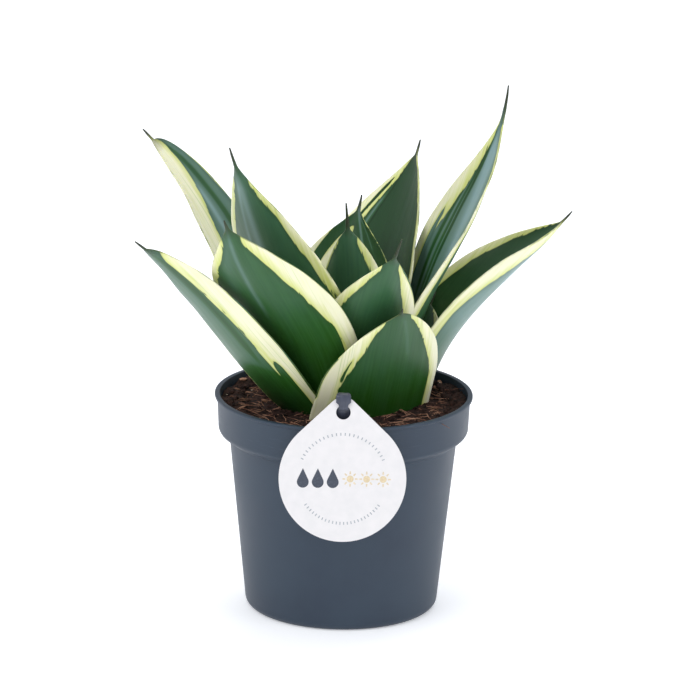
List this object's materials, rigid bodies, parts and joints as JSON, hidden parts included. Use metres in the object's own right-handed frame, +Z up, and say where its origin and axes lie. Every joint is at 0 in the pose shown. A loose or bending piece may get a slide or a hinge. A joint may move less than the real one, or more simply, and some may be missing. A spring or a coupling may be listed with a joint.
{
  "type": "potted snake plant",
  "caption": "Dwarf variegated snake plant: a rosette of stiff, pointed, cream-edged leaves in compost in a slate-grey nursery pot, with a drop-shaped card hung on a stake.",
  "frame": {"origin": "middle of the pot's underside, on the surface that the pot stands on", "axes": "+Z up along the pot's axis; the tag card hangs on the -Y side; +X to the right as seen from the card's side"},
  "size_m": [0.2018, 0.158, 0.2441],
  "materials": {
    "leaf_blade": "satin",
    "slate_plastic": "matte",
    "peat_compost": "matte",
    "coated_card": "satin",
    "dark_plastic": "satin"
  },
  "bodies": {
    "root": {"leaf_centre_spear": "leaf_blade", "leaf_centre_rear": "leaf_blade", "leaf_back_broad": "leaf_blade", "leaf_right_tall": "leaf_blade", "leaf_left_tall": "leaf_blade", "leaf_front_inner": "leaf_blade", "leaf_front_short": "leaf_blade", "leaf_front_left": "leaf_blade", "leaf_back_outer": "leaf_blade", "leaf_back_left_tall": "leaf_blade", "leaf_right_outer": "leaf_blade", "leaf_back_right_short": "leaf_blade", "leaf_back_left_short": "leaf_blade", "leaf_left_outer": "leaf_blade", "plastic_pot": "slate_plastic", "potting_soil": "peat_compost", "tag_card": "coated_card", "tag_stake": "dark_plastic"}
  },
  "joints": []
}
